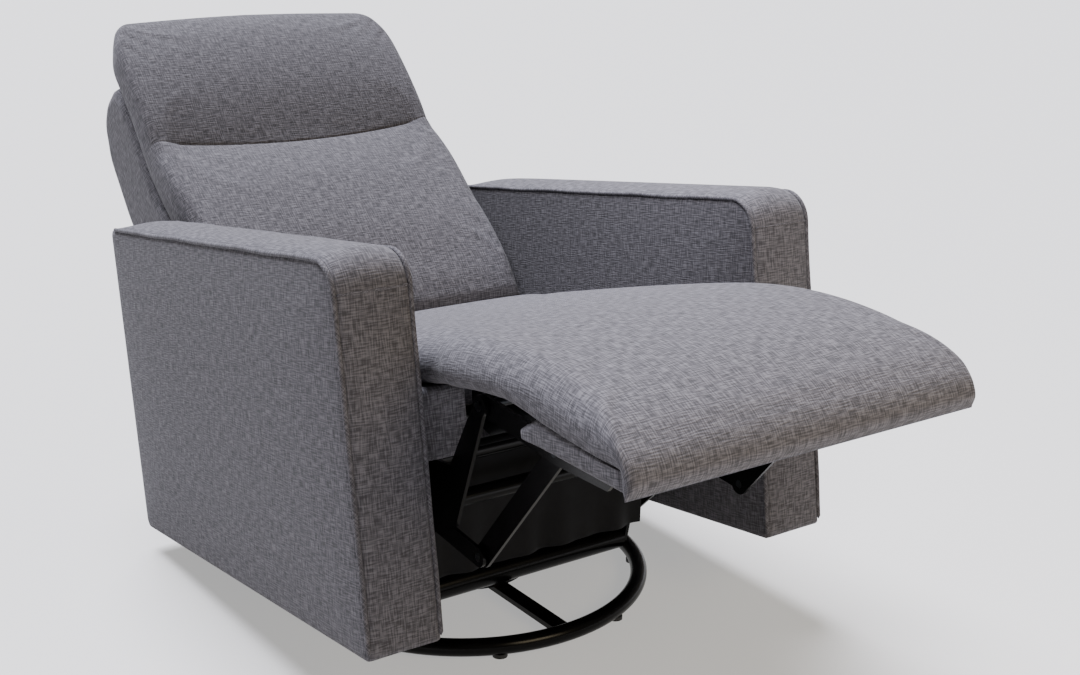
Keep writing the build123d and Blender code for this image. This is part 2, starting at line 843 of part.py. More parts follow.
# Timber frame of the backrest: two stiles, two rails
stile_inner_x = bar_outer_x
frame_front = shell_front + clear
frame_middle = frame_front + frame_rail_depth / 2
low_bar_top = frame_rail_bottom + frame_low_bar_rise + frame_bar
with BuildPart() as back_frame:
    with BuildSketch(back_side(stile_inner_x)):
        with Locations((frame_middle, (frame_rail_bottom + frame_rail_top) / 2)):
            Rectangle(frame_rail_depth, frame_rail_top - frame_rail_bottom)
    extrude(amount=back_rail_thickness)
    mirror(about=Plane.YZ)
    with BuildSketch(back_side(-stile_inner_x)):
        for bar_top in (low_bar_top, frame_rail_top):
            with Locations((frame_middle, bar_top - frame_bar / 2)):
                Rectangle(frame_rail_depth, frame_bar)
    extrude(amount=2 * stile_inner_x)
save(back_frame, "back_frame")

# Elastic straps across the backrest frame
with BuildPart() as back_straps:
    strap_low = low_bar_top + strap_width
    strap_high = frame_rail_top - frame_bar - strap_width
    strap_total = int((strap_high - strap_low) / strap_pitch) + 1
    for index in range(strap_total):
        with BuildSketch(back_side(-stile_inner_x)):
            with Locations((frame_front + strap_thickness, strap_low + index * strap_pitch)):
                Rectangle(strap_thickness, strap_width)
        extrude(amount=2 * stile_inner_x)
save(back_straps, "back_straps")

# Outside back: a padded fabric shell, open towards the cushions and downwards
with BuildPart() as back_shell:
    with BuildSketch(back_side(-back_half_width)):
        with BuildLine():
            Line((shell_front, shell_bottom), (shell_front, shell_shoulder))
            RadiusArc(
                (shell_front, shell_shoulder),
                (shell_top_depth, shell_top),
                shell_top - shell_shoulder,
            )
            ThreePointArc(
                (shell_top_depth, shell_top),
                (shell_top_bulge_depth, shell_top_bulge),
                (shell_rear_top_depth, shell_rear_top),
            )
            ThreePointArc(
                (shell_rear_top_depth, shell_rear_top),
                (shell_rear_bulge_depth, (shell_rear_top + shell_rear_mid) / 2),
                (shell_rear_mid_depth, shell_rear_mid),
            )
            Line((shell_rear_mid_depth, shell_rear_mid), (shell_bottom_depth, shell_bottom))
            Line((shell_bottom_depth, shell_bottom), (shell_front, shell_bottom))
        make_face()
    extrude(amount=2 * back_half_width)
    fillet(back_shell.faces().filter_by(Axis.X).edges(), shell_edge_radius)
    with BuildSketch(back_side(shell_wall - back_half_width)):
        with BuildLine():
            Polyline(
                (shell_front - shell_wall, shell_bottom - shell_wall),
                (shell_front - shell_wall, shell_shoulder - shell_wall),
                (shell_top_depth, shell_top - shell_top_wall),
                (shell_rear_top_depth - shell_wall, shell_rear_top - shell_top_wall),
                (shell_rear_mid_depth - shell_rear_wall, shell_rear_mid),
                (shell_bottom_depth - shell_wall, shell_bottom - shell_wall),
                close=True,
            )
        make_face()
    extrude(amount=2 * (back_half_width - shell_wall), mode=Mode.SUBTRACT)
save(back_shell, "back_shell")

# Lumbar cushion, rounded under its heel so that it clears the seat as the back comes up
heel_turn = radians(heel_low_angle)
heel_swing = radians(heel_mid_angle)
heel_low = (
    back_pivot_depth - heel_radius * sin(heel_turn),
    back_pivot_rise - heel_radius * cos(heel_turn),
)
heel_front = (back_pivot_depth - heel_radius, back_pivot_rise)
heel_half = (
    back_pivot_depth - heel_radius * cos(heel_swing),
    back_pivot_rise - heel_radius * sin(heel_swing),
)
with BuildPart() as lumbar_cushion:
    for x, drop, draw in crown_stations(back_half_width):
        rear_low = (cushion_rear, back_pivot_rise + heel_rise)
        rear_high = (cushion_rear, lumbar_top - draw)
        front_high = (crease_front + drop / 2, lumbar_top - draw)
        middle = (lumbar_front + drop, (back_pivot_rise + lumbar_top) / 2)
        foot = (heel_front[0] + drop / 2, heel_front[1])
        with BuildSketch(back_side(x)):
            with BuildLine():
                Line(rear_low, heel_low)
                ThreePointArc(heel_low, (heel_half[0] + drop / 4, heel_half[1]), foot)
                ThreePointArc(foot, middle, front_high)
                Line(front_high, rear_high)
                Line(rear_high, rear_low)
            make_face()
    loft()
save(lumbar_cushion, "lumbar_cushion")

# Headrest cushion, rounded over its top
with BuildPart() as headrest_cushion:
    for x, drop, draw in crown_stations(back_half_width):
        rear_low = (cushion_rear, head_bottom + draw)
        front_low = (crease_front + drop / 2, head_bottom + draw)
        middle = (head_front + drop, (head_bottom + head_shoulder) / 2)
        front_high = ((head_front + drop) / 2, head_shoulder + head_brow_rise - drop)
        crest = (head_crest_depth, head_top - head_crest_drop * drop)
        rear_high = (cushion_rear, head_shoulder - drop)
        with BuildSketch(back_side(x)):
            with BuildLine():
                Line(rear_low, front_low)
                ThreePointArc(front_low, middle, front_high)
                ThreePointArc(front_high, crest, rear_high)
                Line(rear_high, rear_low)
            make_face()
    loft()
save(headrest_cushion, "headrest_cushion")
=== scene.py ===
from math import cos, pi, radians, sin

import bmesh
import bpy
import numpy as np
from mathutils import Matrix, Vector


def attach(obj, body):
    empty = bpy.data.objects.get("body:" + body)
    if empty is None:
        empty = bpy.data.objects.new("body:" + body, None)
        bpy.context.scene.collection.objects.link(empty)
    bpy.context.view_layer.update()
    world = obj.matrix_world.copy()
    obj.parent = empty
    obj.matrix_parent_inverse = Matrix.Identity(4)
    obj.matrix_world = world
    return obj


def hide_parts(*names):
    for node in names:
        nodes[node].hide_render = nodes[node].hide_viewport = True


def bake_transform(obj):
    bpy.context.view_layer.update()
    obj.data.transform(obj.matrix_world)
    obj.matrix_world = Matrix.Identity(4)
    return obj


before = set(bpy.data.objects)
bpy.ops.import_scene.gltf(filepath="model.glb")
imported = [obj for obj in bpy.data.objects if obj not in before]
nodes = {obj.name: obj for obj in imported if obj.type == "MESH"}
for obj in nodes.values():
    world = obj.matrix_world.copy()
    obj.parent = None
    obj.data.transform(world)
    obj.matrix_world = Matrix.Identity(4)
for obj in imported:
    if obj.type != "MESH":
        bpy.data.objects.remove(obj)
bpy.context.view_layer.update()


# Floor ring, legs, swivel plates, cross tubes, posts, links and side plates.
# Mild steel tube and strip, welded, then sprayed with black gloss enamel that hides the mill scale.
# The enamel is nearly black and smooth, with a faint orange peel and a sharp highlight along each tube.
def linear(hex_colour):
    """An sRGB hex colour as linear RGBA: each channel c is c / 12.92, or ((c + 0.055) / 1.055) ** 2.4."""
    channels = np.array([int(hex_colour[i:i + 2], 16) for i in (1, 3, 5)]) / 255
    low = channels / 12.92
    high = ((channels + 0.055) / 1.055) ** 2.4
    return (*np.where(channels <= 0.04045, low, high).tolist(), 1.0)


def start_material(name):
    """A new material with an empty node tree."""
    material = bpy.data.materials.new(name)
    material.use_nodes = True
    material.node_tree.nodes.clear()
    return material, material.node_tree


def add(tree, kind, inputs=None, **settings):
    """Adds one node: settings are its own fields, and each input takes a value or another node's output."""
    made = tree.nodes.new(kind)
    for field, value in settings.items():
        setattr(made, field, value)
    for name, value in (inputs or {}).items():
        if isinstance(value, bpy.types.NodeSocket):
            tree.links.new(value, made.inputs[name])
        else:
            made.inputs[name].default_value = value
    return made


def black_enamel():
    """Sprayed gloss enamel on steel: nearly black, dust in the gloss at 60 mm, orange peel at 1.5 mm."""
    material, tree = start_material("black gloss enamel on steel")
    place = add(tree, "ShaderNodeTexCoord").outputs["Object"]
    dust = add(tree, "ShaderNodeTexNoise", {"Vector": place, "Scale": 1 / 0.06, "Detail": 5.0})
    gloss = add(tree, "ShaderNodeMapRange", {"Value": dust.outputs["Fac"], "To Min": 0.16, "To Max": 0.30})
    tone = add(tree, "ShaderNodeMix", {
        "Factor": dust.outputs["Fac"], "A": linear("#020202"), "B": linear("#080809"),
    }, data_type="RGBA")
    peel = add(tree, "ShaderNodeTexNoise", {"Vector": place, "Scale": 1 / 0.0015, "Detail": 1.0})
    bump = add(tree, "ShaderNodeBump", {
        "Height": peel.outputs["Fac"], "Strength": 0.12, "Distance": 0.0003,
    })
    paint = add(tree, "ShaderNodeBsdfPrincipled", {
        "Base Color": tone.outputs["Result"], "Roughness": gloss.outputs["Result"],
        "Normal": bump.outputs["Normal"], "Specular IOR Level": 0.14,
    })
    add(tree, "ShaderNodeOutputMaterial", {"Surface": paint.outputs["BSDF"]})
    return material


def dress(names, material):
    """Gives the finish to CAD nodes that keep their own shape."""
    for name in names:
        nodes[name].data.materials.clear()
        nodes[name].data.materials.append(material)


dress((
    "base_ring", "cross_legs", "lower_swivel_plate", "upper_swivel_plate", "swivel_channels",
    "front_cross_tube", "rear_cross_tube", "glide_posts", "front_glide_links", "rear_glide_links",
    "mechanism_plate_left", "mechanism_plate_right", "front_stretcher", "rear_stretcher",
    "footrest_arms", "torque_tube", "footrest_cranks", "footrest_links", "back_hinge_plates",
), black_enamel())


# Pivot rivets, hinge rod, king bolt, its nut and the rail bolts.
# Cold-headed steel with blackened zinc plating, pressed or screwed through the plates and links.
# Plating keeps the drawn grain of the wire and dulls in patches, so the shine is uneven.
def zinc_plate():
    """Blackened zinc plate: dark grey metal, dull patches at 8 mm and fine grain at 0.8 mm."""
    material, tree = start_material("black zinc plated steel")
    place = add(tree, "ShaderNodeTexCoord").outputs["Object"]
    patch = add(tree, "ShaderNodeTexNoise", {"Vector": place, "Scale": 1 / 0.008, "Detail": 4.0})
    tone = add(tree, "ShaderNodeMix", {
        "Factor": patch.outputs["Fac"], "A": linear("#17181a"), "B": linear("#36383b"),
    }, data_type="RGBA")
    gloss = add(tree, "ShaderNodeMapRange", {"Value": patch.outputs["Fac"], "To Min": 0.28, "To Max": 0.5})
    grain = add(tree, "ShaderNodeTexNoise", {"Vector": place, "Scale": 1 / 0.0008, "Detail": 1.0})
    bump = add(tree, "ShaderNodeBump", {
        "Height": grain.outputs["Fac"], "Strength": 0.1, "Distance": 0.0002,
    })
    metal = add(tree, "ShaderNodeBsdfPrincipled", {
        "Base Color": tone.outputs["Result"], "Metallic": 1.0, "Roughness": gloss.outputs["Result"],
        "Normal": bump.outputs["Normal"],
    })
    add(tree, "ShaderNodeOutputMaterial", {"Surface": metal.outputs["BSDF"]})
    return material


dress((
    "king_bolt", "king_nut", "upper_pivot_pins", "lower_pivot_pins", "rail_bolts",
    "footrest_hinge_rod", "back_pivot_pins", "footrest_pins", "crank_pins",
), zinc_plate())


# Floor pads under the ring and the washer between the swivel plates.
# Injection moulded polymer: black polypropylene pads snapped on the tube, a white acetal washer.
# Moulded parts are matt with a fine spark texture, and the pads carry floor scuffs.
def moulded_polymer(name, dark, light, roughness):
    """Moulded polymer: two close tones in patches of 12 mm, spark texture at 0.6 mm."""
    material, tree = start_material(name)
    place = add(tree, "ShaderNodeTexCoord").outputs["Object"]
    patch = add(tree, "ShaderNodeTexNoise", {"Vector": place, "Scale": 1 / 0.012, "Detail": 4.0})
    tone = add(tree, "ShaderNodeMix", {
        "Factor": patch.outputs["Fac"], "A": linear(dark), "B": linear(light),
    }, data_type="RGBA")
    spark = add(tree, "ShaderNodeTexNoise", {"Vector": place, "Scale": 1 / 0.0006, "Detail": 1.0})
    bump = add(tree, "ShaderNodeBump", {
        "Height": spark.outputs["Fac"], "Strength": 0.25, "Distance": 0.0001,
    })
    plastic = add(tree, "ShaderNodeBsdfPrincipled", {
        "Base Color": tone.outputs["Result"], "Roughness": roughness, "Normal": bump.outputs["Normal"],
        "IOR": 1.49,
    })
    add(tree, "ShaderNodeOutputMaterial", {"Surface": plastic.outputs["BSDF"]})
    return material


dress(("floor_glides",), moulded_polymer("moulded black polypropylene", "#101011", "#1d1d1f", 0.55))
dress(("swivel_washer",), moulded_polymer("moulded white acetal", "#c9c8c2", "#dddcd8", 0.35))


# Seat rails, arm frames, back frame and the footrest board.
# Kiln-dried softwood and plywood, planed, glued and stapled, left bare under the covers.
# Straight grain shows as darker bands a few millimetres apart along each board.
def planed_pine():
    """Bare pine: bands 5 mm apart across Z, wavered by noise, pores at 0.7 mm."""
    material, tree = start_material("planed pine")
    place = add(tree, "ShaderNodeTexCoord").outputs["Object"]
    bands = add(tree, "ShaderNodeTexWave", {
        "Vector": place, "Scale": 1 / (0.005 * 20), "Distortion": 6.0, "Detail": 3.0, "Detail Scale": 0.6,
    }, bands_direction="Z")
    tone = add(tree, "ShaderNodeMix", {
        "Factor": bands.outputs["Fac"], "A": linear("#c9a672"), "B": linear("#a87f4c"),
    }, data_type="RGBA")
    pores = add(tree, "ShaderNodeTexNoise", {"Vector": place, "Scale": 1 / 0.0007, "Detail": 2.0})
    bump = add(tree, "ShaderNodeBump", {
        "Height": pores.outputs["Fac"], "Strength": 0.2, "Distance": 0.0002,
    })
    wood = add(tree, "ShaderNodeBsdfPrincipled", {
        "Base Color": tone.outputs["Result"], "Roughness": 0.65, "Normal": bump.outputs["Normal"],
    })
    add(tree, "ShaderNodeOutputMaterial", {"Surface": wood.outputs["BSDF"]})
    return material


dress((
    "seat_rail_left", "seat_rail_right", "arm_frame_left", "arm_frame_right", "back_frame", "footrest_board",
), planed_pine())


# Elastic straps across the seat and the back frame.
# Woven rubber and polypropylene webbing, stretched and stapled to the timber.
# Ribs run along each strap, 3 mm apart, across the chair.
def elastic_webbing():
    """Woven elastic strap: ribs 3 mm apart along Y, black yarn with grey edges of each rib."""
    material, tree = start_material("woven elastic webbing")
    place = add(tree, "ShaderNodeTexCoord").outputs["Object"]
    ribs = add(tree, "ShaderNodeTexWave", {
        "Vector": place, "Scale": 1 / (0.003 * 20), "Distortion": 0.3,
    }, bands_direction="Y")
    tone = add(tree, "ShaderNodeMix", {
        "Factor": ribs.outputs["Fac"], "A": linear("#0e0e10"), "B": linear("#2c2c30"),
    }, data_type="RGBA")
    bump = add(tree, "ShaderNodeBump", {
        "Height": ribs.outputs["Fac"], "Strength": 0.5, "Distance": 0.0006,
    })
    strap = add(tree, "ShaderNodeBsdfPrincipled", {
        "Base Color": tone.outputs["Result"], "Roughness": 0.85, "Normal": bump.outputs["Normal"],
    })
    add(tree, "ShaderNodeOutputMaterial", {"Surface": strap.outputs["BSDF"]})
    return material


dress(("seat_straps", "back_straps"), elastic_webbing())


# Arms: a board frame under wadding, in a cover of two side panels and a band over the top and front.
# Polyester woven to look like linen, heathered from light and dark grey yarns, sewn with corded seams.
# The top is crowned, the corner over the front is rounded and the bottoms are tucked under.
TILT = radians(7.5)
BODY_FRONT_Y = -0.4065
BODY_BOTTOM_Z = 0.140
ARM_INNER_X = 0.275
ARM_WIDTH = 0.106
ARM_DEPTH = 0.779
ARM_HEIGHT = 0.494


def body_place(x, v, h):
    """Points of the leaning chair body in metres: v back from the arm fronts, h up from the arm bottoms."""
    y = BODY_FRONT_Y + v * cos(TILT) + h * sin(TILT)
    z = BODY_BOTTOM_Z - v * sin(TILT) + h * cos(TILT)
    return np.stack(np.broadcast_arrays(x, y, z), axis=-1)


def heathered_weave():
    """Linen-look weave of slubby yarns, on a flat cloth map in metres.

    A light and a dark yarn repeat every 1.8 mm. Real yarns are nearer 0.6 mm, and these are drawn wider so
    that they still show from across a room. Each yarn set is noise stretched along the yarn, and a
    plain-weave ripple, one sine across times one along, lifts one set over the other.
    """
    pair = 0.0018
    slub = 0.016
    material, tree = start_material("heathered grey polyester weave")
    cloth = add(tree, "ShaderNodeUVMap", uv_map="cloth").outputs["UV"]
    tones = []
    for across, along in ((pair, slub), (slub, pair)):
        turned = add(tree, "ShaderNodeMapping", {"Vector": cloth, "Scale": (1 / across, 1 / along, 1.0)})
        noise = add(tree, "ShaderNodeTexNoise", {
            "Vector": turned.outputs["Vector"], "Scale": 1.0, "Detail": 0.0,
        }, noise_dimensions="2D")
        tones.append(noise.outputs["Fac"])
    parts = add(tree, "ShaderNodeSeparateXYZ", {"Vector": cloth})
    ripples = []
    for axis in ("X", "Y"):
        turns = add(tree, "ShaderNodeMath", {0: parts.outputs[axis], 1: 2 * pi / pair}, operation="MULTIPLY")
        wave = add(tree, "ShaderNodeMath", {0: turns.outputs["Value"]}, operation="SINE")
        ripples.append(wave.outputs["Value"])
    ripple = add(tree, "ShaderNodeMath", {0: ripples[0], 1: ripples[1]}, operation="MULTIPLY")
    both = add(tree, "ShaderNodeMath", {0: tones[0], 1: tones[1]}, operation="ADD")
    mixed = add(tree, "ShaderNodeMath", {0: ripple.outputs["Value"], 1: 0.12, 2: both.outputs["Value"]},
                operation="MULTIPLY_ADD")
    shade = add(tree, "ShaderNodeMapRange", {
        "Value": mixed.outputs["Value"], "From Min": 0.60, "From Max": 1.40,
    })
    ramp = add(tree, "ShaderNodeValToRGB", {"Fac": shade.outputs["Result"]})
    ramp.color_ramp.elements.new(0.5)
    for stop, colour in zip(ramp.color_ramp.elements, ("#363538", "#48464a", "#5c5a5e")):
        stop.color = linear(colour)
    bump = add(tree, "ShaderNodeBump", {
        "Height": mixed.outputs["Value"], "Strength": 0.4, "Distance": 0.0012,
    })
    fabric = add(tree, "ShaderNodeBsdfPrincipled", {
        "Base Color": ramp.outputs["Color"], "Normal": bump.outputs["Normal"], "Roughness": 0.92,
        "Specular IOR Level": 0.15, "Sheen Weight": 0.05, "Sheen Roughness": 0.5,
    })
    add(tree, "ShaderNodeOutputMaterial", {"Surface": fabric.outputs["BSDF"]})
    return material


WEAVE = heathered_weave()


def sewn_mesh(name, sheets):
    """One object from grids of points and their flat cloth places, welded where the grids meet.

    Each sheet is (points, cloth): rows and columns of points in metres, with a cloth place for each.
    """
    corners, faces, flat = [], [], []
    start = 0
    for points, cloth in sheets:
        rows, columns = points.shape[:2]
        index = start + np.arange(rows * columns).reshape(rows, columns)
        ring = [np.s_[:-1, :-1], np.s_[:-1, 1:], np.s_[1:, 1:], np.s_[1:, :-1]]
        corners.append(points.reshape(-1, 3))
        faces.append(np.stack([index[part] for part in ring], axis=-1).reshape(-1, 4))
        flat.append(np.stack([cloth[part] for part in ring], axis=-2).reshape(-1, 2))
        start += rows * columns
    mesh = bpy.data.meshes.new(name)
    mesh.from_pydata(np.concatenate(corners).tolist(), [], np.concatenate(faces).tolist())
    mesh.uv_layers.new(name="cloth").data.foreach_set("uv", np.concatenate(flat).astype(np.float32).ravel())
    work = bmesh.new()
    work.from_mesh(mesh)
    bmesh.ops.remove_doubles(work, verts=work.verts, dist=2e-5)
    bmesh.ops.dissolve_degenerate(work, edges=work.edges, dist=1e-6)
    bmesh.ops.recalc_face_normals(work, faces=work.faces)
    work.to_mesh(mesh)
    work.free()
    mesh.polygons.foreach_set("use_smooth", np.ones(len(mesh.polygons), bool))
    mesh.materials.append(WEAVE)
    piece = bpy.data.objects.new(name, mesh)
    bpy.context.scene.collection.objects.link(piece)
    return piece


def run_length(points):
    """Distance along a line of points, from its start."""
    steps = np.linalg.norm(np.diff(points, axis=0), axis=-1)
    return np.concatenate(([0.0], np.cumsum(steps)))


def rounded_outline(corners, radii, step):
    """A closed outline with its corners rounded to arcs, as evenly spaced points and outward normals.

    Each corner is cut back by radius / tan(half angle) along both sides and joined by an arc about the
    arc's centre. Returns the points, their normals and the run along the outline.
    """
    corners = np.asarray(corners, float)
    line = []
    for before, corner, after, radius in zip(np.roll(corners, 1, 0), corners, np.roll(corners, -1, 0), radii):
        back = (before - corner) / np.linalg.norm(before - corner)
        ahead = (after - corner) / np.linalg.norm(after - corner)
        half = np.arccos(np.clip(back @ ahead, -1, 1)) / 2
        middle = (back + ahead) / np.linalg.norm(back + ahead)
        centre = corner + middle * radius / sin(half)
        start = corner + back * radius / np.tan(half) - centre
        end = corner + ahead * radius / np.tan(half) - centre
        turn = np.linspace(0, 1, 17)[:, None]
        chord = start * (1 - turn) + end * turn
        line.append(centre + radius * chord / np.linalg.norm(chord, axis=1, keepdims=True))
    line = np.concatenate(line)
    line = np.concatenate((line, line[:1]))
    along = run_length(line)
    even = np.linspace(0, along[-1], int(along[-1] / step) + 1)
    points = np.stack([np.interp(even, along, line[:, k]) for k in (0, 1)], axis=-1)
    slope = np.gradient(np.concatenate((points[-2:-1], points, points[1:2])), axis=0)[1:-1]
    normals = np.stack((slope[:, 1], -slope[:, 0]), axis=-1)
    normals /= np.linalg.norm(normals, axis=1, keepdims=True)
    area = np.sum(points[:-1, 0] * points[1:, 1] - points[1:, 0] * points[:-1, 1])
    return points, normals * np.sign(area), even


def cloth_map(points):
    """Flat cloth places of a grid of points: its run along each row from the middle, and down the middle."""
    middle = points.shape[1] // 2
    across = np.cumsum(np.linalg.norm(np.diff(points, axis=1, prepend=points[:, :1]), axis=-1), axis=1)
    along = np.broadcast_to(run_length(points[:, middle])[:, None], across.shape)
    return np.stack((across - across[:, middle:middle + 1], along), axis=-1)


def covered_box(place, outline, middle_x, half_width, edge, bulge, crown):
    """Sheets of a padded cover: a band around an outline and a panel on each side, sewn along both edges.

    The seam lies edge inside the outline and edge inside the side. Band and panel rise from it as
    edge * (1 - distance / roll) ** 2. The band is crowned by 1 - (x / half width) ** 2. A panel shrinks to
    the middle line of the box, as its share of the way falls from 1 to 0, and stands out by
    bulge * (1 - share ** 4). Places on the middle line are rounded to every second step of the outline, so
    that both halves of a panel meet there.
    """
    points, normals, along = outline
    edge = np.broadcast_to(edge, along.shape)[:, None]
    roll = 3 * edge
    low, high = points.min(0), points.max(0)
    reach = (high - low).min() / 2
    grid = 2 * along[1]
    core = np.clip(points, low + reach, high - reach) - low - reach
    core = low + reach + grid * np.round(core / grid)
    outer = np.array((0, 0.2, 0.4, 0.6, 0.8))
    fine = np.concatenate((-1 + 0.16 * outer, np.linspace(-0.84, 0.84, 15), (1 - 0.16 * outer)[::-1]))
    span = fine * (half_width - edge)
    depth = edge * np.clip(1 - (half_width - edge - np.abs(span)) / roll, 0, 1) ** 2
    lift = crown[:, None] * (1 - fine ** 2)
    band = points[:, None] - normals[:, None] * (depth - lift)[..., None]
    band = place(middle_x + span, band[..., 0], band[..., 1])
    sheets = [(band, cloth_map(band))]
    seam = points - normals * edge
    share = 1 - np.concatenate((0.08 * outer, np.linspace(0.08, 1, 26)))
    panel = core[:, None] + (seam - core)[:, None] * share[:, None]
    inward = np.linalg.norm(seam - core, axis=1)[:, None] * (1 - share)
    out = bulge * (1 - share ** 4) - edge * share * np.clip(1 - inward / roll, 0, 1) ** 2
    for side in (-1, 1):
        sheets.append((place(middle_x + side * (half_width + out), panel[..., 0], panel[..., 1]), panel))
    return sheets


arm_outline = rounded_outline(
    ((0, -0.006), (0, ARM_HEIGHT), (ARM_DEPTH + 0.010, ARM_HEIGHT), (ARM_DEPTH + 0.008, -0.001)),
    radii=(0.008, 0.043, 0.008, 0.012), step=0.006,
)
arm_points, arm_normals, arm_run = arm_outline
facing_up = np.clip(arm_normals[:, 1], 0, 1) ** 2
facing_front = np.clip(-arm_normals[:, 0], 0, 1) ** 2
facing_rear = np.clip(arm_normals[:, 0], 0, 1) ** 2
TOP_CROWN, FRONT_CROWN, REAR_CROWN = 0.010, 0.006, 0.011
top_crown = TOP_CROWN * facing_up * (1 - np.exp(-(ARM_DEPTH - arm_points[:, 0]) / 0.035))
front_crown = FRONT_CROWN * facing_front * (1 - np.exp(-arm_points[:, 1] / 0.05))
rear_crown = REAR_CROWN * facing_rear * np.sin(np.clip(arm_points[:, 1] / ARM_HEIGHT, 0, 1) * pi)
arm_crown = top_crown + front_crown + rear_crown
arm_edge = 0.0015 + 0.0015 * np.clip(facing_up + facing_front, 0, 1)
for side, label in ((-1, "left"), (1, "right")):
    arm_middle = side * (ARM_INNER_X + ARM_WIDTH / 2)
    arm = sewn_mesh(f"arm_cover_soft_{label}", covered_box(
        body_place, arm_outline, arm_middle, ARM_WIDTH / 2, edge=arm_edge, bulge=0.005, crown=arm_crown,
    ))
    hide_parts(f"arm_cover_{label}")
    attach(arm, "chassis")


# Welts along the arm seams: cord rolled in a bias strip of the same cloth and caught in the seam.
# Two run on each arm, from the back of its top over the rounded corner and down to the floor end.
# They wander a little, as a sewn cord does.
def cord_tube(points, across, up, radius):
    """A round tube along a line: radius * (across * cos + up * sin) about each point.

    It tapers shut at its ends. Its cloth is cut on the bias, so the yarns run at 45 degrees to the line.
    """
    around = np.linspace(0, 2 * pi, 13)
    along = run_length(points)
    near = np.minimum(along, along[-1] - along) / radius
    taper = np.sqrt(np.clip(1 - np.clip(1 - near, 0, 1) ** 2, 0, 1))
    spoke = across[:, None] * np.cos(around)[:, None] + up[:, None] * np.sin(around)[:, None]
    tube = points[:, None] + radius * taper[:, None, None] * spoke
    girth, length = np.broadcast_arrays(around * radius, along[:, None])
    return tube, np.stack((girth + length, girth - length), axis=-1) * 0.707


WELT_RADIUS, WELT_SINK = 0.0032, 0.0016
welted = (arm_points[:, 0] < 0.03) | (arm_points[:, 1] > ARM_HEIGHT - 0.012)
welted &= (arm_points[:, 1] > 0.001) & (arm_points[:, 0] < ARM_DEPTH - 0.002)
welt_line = arm_points[welted]
welt_normal = arm_normals[welted]
welt_run = arm_run[welted]
for side, label in ((-1, "left"), (1, "right")):
    tubes = []
    for edge_side, phase in ((-1, 0.4), (1, 2.1)):
        wander = 0.0005 * np.sin(welt_run * 2 * pi / 0.21 + phase) + 0.0003 * np.sin(welt_run * 2 * pi / 0.13)
        edge_x = side * (ARM_INNER_X + ARM_WIDTH / 2) + edge_side * (ARM_WIDTH / 2 - WELT_SINK)
        line = welt_line - welt_normal * (WELT_SINK + wander[:, None])
        path = body_place(edge_x, line[:, 0], line[:, 1])
        tip = line + welt_normal
        up = body_place(edge_x, tip[:, 0], tip[:, 1]) - path
        across = np.broadcast_to(np.array((1.0, 0.0, 0.0)), up.shape)
        tubes.append(cord_tube(path, across, up, WELT_RADIUS))
    welts = sewn_mesh(f"arm_welts_{label}", tubes)
    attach(welts, "chassis")


# Cross seams on the arm bands, where the top strip is joined to the front strip.
# Each is a plain stitched join, pulled flat, just below the rounded corner.
JOIN_HEIGHT, JOIN_RADIUS = 0.452, 0.0015
at_rear = arm_points[:, 0] > ARM_DEPTH / 2
join_index = np.argmin(np.abs(arm_points[:, 1] - JOIN_HEIGHT) + ARM_DEPTH * at_rear)
join_x = np.linspace(-1, 1, 41)
for side, label in ((-1, "left"), (1, "right")):
    lift = arm_crown[join_index] * (1 - join_x ** 2) - 0.0004
    join = arm_points[join_index] + arm_normals[join_index] * lift[:, None]
    across_arm = side * (ARM_INNER_X + ARM_WIDTH / 2) + join_x * (ARM_WIDTH / 2 - 0.004)
    path = body_place(across_arm, join[:, 0], join[:, 1])
    along = np.gradient(path, axis=0)
    along /= np.linalg.norm(along, axis=1, keepdims=True)
    out = body_place(0.0, *arm_normals[join_index]) - body_place(0.0, 0.0, 0.0)
    up = np.cross(along, out)
    stitched = cord_tube(path, np.broadcast_to(out, up.shape), up, JOIN_RADIUS)
    seam = sewn_mesh(f"arm_cross_seam_{label}", [stitched])
    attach(seam, "chassis")


# Board across the back of the seat box, wrapped in the same cloth and stapled inside the arms.
# It closes the chair under the outside back.
panel_outline = rounded_outline(
    ((0.750, 0.026), (0.750, 0.136), (0.768, 0.136), (0.768, 0.026)), radii=(0.004,) * 4, step=0.003,
)
rear_panel = sewn_mesh("rear_panel_wrap", covered_box(
    body_place, panel_outline, 0.0, ARM_INNER_X, edge=0.001, bulge=0.0, crown=np.zeros(len(panel_outline[0])),
))
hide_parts("rear_panel")
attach(rear_panel, "chassis")


# Painted shade under the seat: a matt black sheet wrapped round the front stretcher, dark like the shadow
# there.
# It hangs plumb, a hand above the swivel frame, and hides the lit floor behind the glide links, so the
# mechanism reads dark.
# Crossed waves give it a fine dimpled, matt black face, and it falls in shallow folds.
def painted_shade_sheet():
    """Matt black sheet for painted shade: dimples 2.5 mm apart from two crossed waves, cloudy at 30 mm."""
    material, tree = start_material("black matt sheet for painted shade")
    place = add(tree, "ShaderNodeTexCoord").outputs["Object"]
    cloud = add(tree, "ShaderNodeTexNoise", {"Vector": place, "Scale": 1 / 0.03, "Detail": 4.0})
    tone = add(tree, "ShaderNodeMix", {
        "Factor": cloud.outputs["Fac"], "A": linear("#060607"), "B": linear("#121214"),
    }, data_type="RGBA")
    waves = [add(tree, "ShaderNodeTexWave", {
        "Vector": place, "Scale": 1 / (0.0025 * 20), "Distortion": 0.2,
    }, bands_direction=axis).outputs["Fac"] for axis in ("X", "Z")]
    dots = add(tree, "ShaderNodeMath", {0: waves[0], 1: waves[1]}, operation="MULTIPLY")
    bump = add(tree, "ShaderNodeBump", {"Height": dots.outputs["Value"], "Strength": 0.4, "Distance": 0.0003})
    sheet = add(tree, "ShaderNodeBsdfPrincipled", {
        "Base Color": tone.outputs["Result"], "Roughness": 0.8, "Normal": bump.outputs["Normal"],
        "Specular IOR Level": 0.2,
    })
    add(tree, "ShaderNodeOutputMaterial", {"Surface": sheet.outputs["BSDF"]})
    return material


